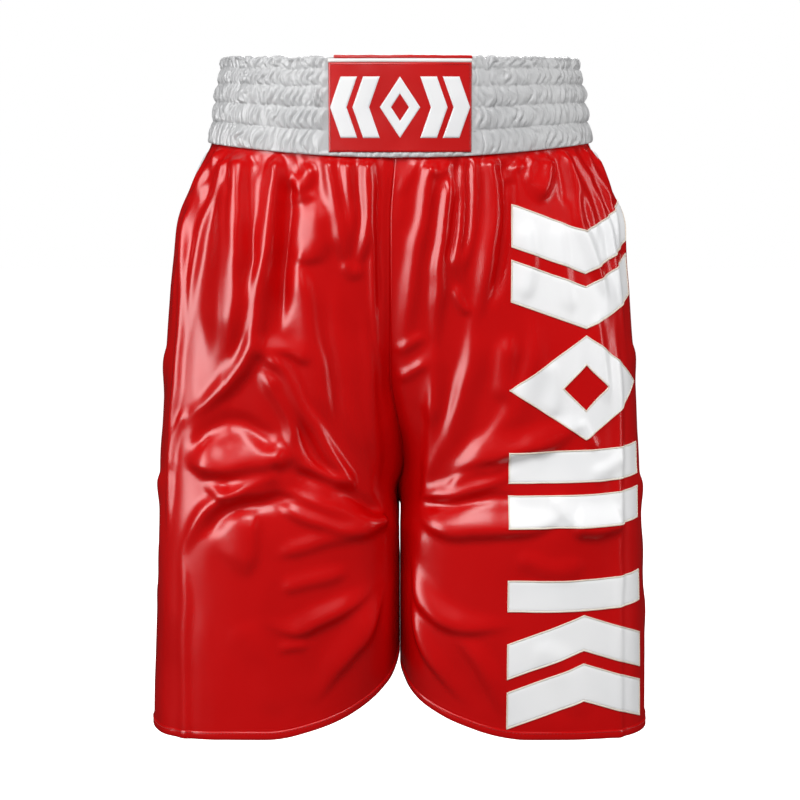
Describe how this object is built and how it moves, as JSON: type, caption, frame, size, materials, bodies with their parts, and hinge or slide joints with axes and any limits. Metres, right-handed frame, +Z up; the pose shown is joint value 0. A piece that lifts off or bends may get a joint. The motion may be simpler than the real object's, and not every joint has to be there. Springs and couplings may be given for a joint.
{
  "type": "boxing shorts",
  "caption": "Knee-length glossy satin boxing shorts with a tall ruched elastic waistband, a flat front patch and a column of applied shapes down one leg.",
  "frame": {"origin": "centre of the waist opening, on the plane of the waistband's top rim", "axes": "+Z up towards the wearer's chest, -Y to the front, +X towards the wearer's left"},
  "size_m": [0.475, 0.2317, 0.6198],
  "materials": {
    "body_satin": "satin",
    "hem_satin": "satin",
    "patch_satin": "satin",
    "ruched_satin": "satin",
    "lining": "matte",
    "elastic": "matte",
    "patch_print": "satin",
    "applied_satin": "satin",
    "stripe_satin": "satin"
  },
  "bodies": {
    "hips": {"back_panel_left_upper": "body_satin", "back_panel_right_upper": "body_satin", "elastic_band_1": "elastic", "elastic_band_2": "elastic", "elastic_band_3": "elastic", "elastic_band_4": "elastic", "elastic_band_5": "elastic", "front_panel_left_upper": "body_satin", "front_panel_right_upper": "body_satin", "front_patch": "patch_satin", "leg_bar_1": "applied_satin", "leg_bar_2": "applied_satin", "leg_chevron_1": "applied_satin", "leg_chevron_2": "applied_satin", "leg_lozenge": "applied_satin", "patch_chevron_1": "patch_print", "patch_chevron_2": "patch_print", "patch_chevron_3": "patch_print", "patch_chevron_4": "patch_print", "patch_lozenge": "patch_print", "patch_piping": "patch_print", "patch_top_fold": "patch_satin", "side_stripe_left_upper": "stripe_satin", "side_stripe_right_upper": "stripe_satin", "waistband_casing": "ruched_satin", "waistband_lining": "lining"},
    "left_leg": {"back_panel_left_leg": "body_satin", "front_panel_left_leg": "body_satin", "hem_back_left": "hem_satin", "hem_front_left": "hem_satin", "leg_bar_3": "applied_satin", "leg_chevron_3": "applied_satin", "leg_chevron_4": "applied_satin", "side_stripe_left_leg": "stripe_satin"},
    "right_leg": {"back_panel_right_leg": "body_satin", "front_panel_right_leg": "body_satin", "hem_back_right": "hem_satin", "hem_front_right": "hem_satin", "side_stripe_right_leg": "stripe_satin"}
  },
  "joints": [
    {"name": "left_leg_swing", "type": "hinge", "parent": "hips", "child": "left_leg", "pos_m": [0.116, 0, -0.415], "axis": [-1, 0, 0], "range_deg": [-10, 20]},
    {"name": "right_leg_swing", "type": "hinge", "parent": "hips", "child": "right_leg", "pos_m": [-0.116, 0, -0.415], "axis": [-1, 0, 0], "range_deg": [-10, 20]}
  ]
}
